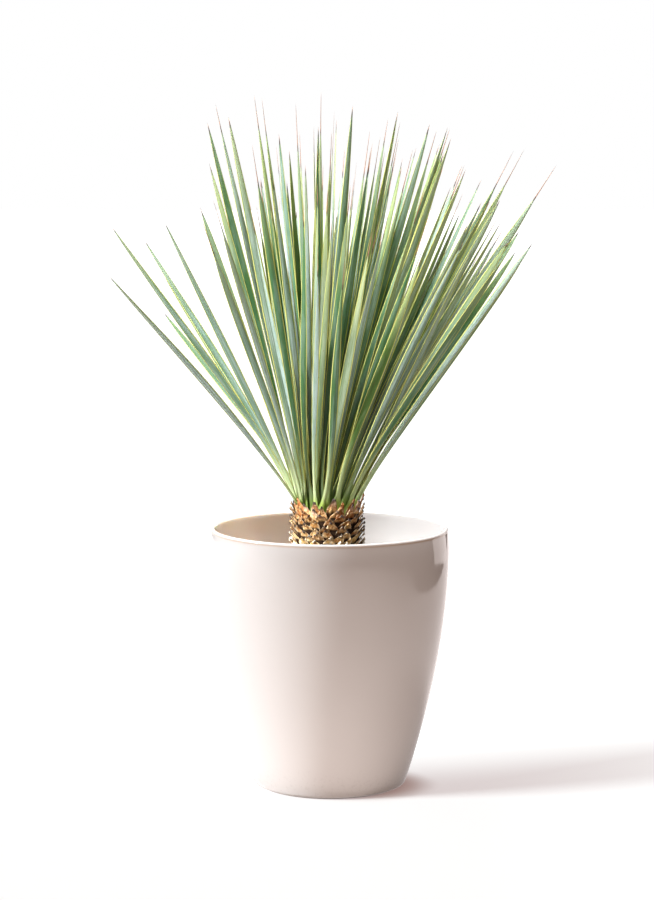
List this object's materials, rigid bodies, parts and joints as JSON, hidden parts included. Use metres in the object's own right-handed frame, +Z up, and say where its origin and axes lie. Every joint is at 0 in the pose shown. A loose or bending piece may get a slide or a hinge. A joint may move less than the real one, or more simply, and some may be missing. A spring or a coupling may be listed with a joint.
{
  "type": "potted beaked yucca",
  "caption": "Beaked yucca with a round head of stiff narrow leaves on a short scaly trunk, in soil in a tall rounded gloss pot.",
  "frame": {"origin": "middle of the pot's flat underside", "axes": "+Z up the pot's axis and the trunk; the plant's best side faces -Y; the head of leaves leans to +X"},
  "size_m": [0.5129, 0.3718, 0.816],
  "materials": {
    "pot_gloss": "smooth warm-white gloss",
    "potting_mix": "loose bark and peat crumbs with some pale grit, matte",
    "old_leaf_bases": "dry fibrous golden-brown scales with grey cut tips",
    "leaves": "waxy blue-green with fine lengthwise lines, thin yellow margins and red-brown spines"
  },
  "bodies": {
    "root": {"pot": "pot_gloss", "soil": "potting_mix", "trunk": "old_leaf_bases", "crown": "leaves"}
  },
  "joints": []
}
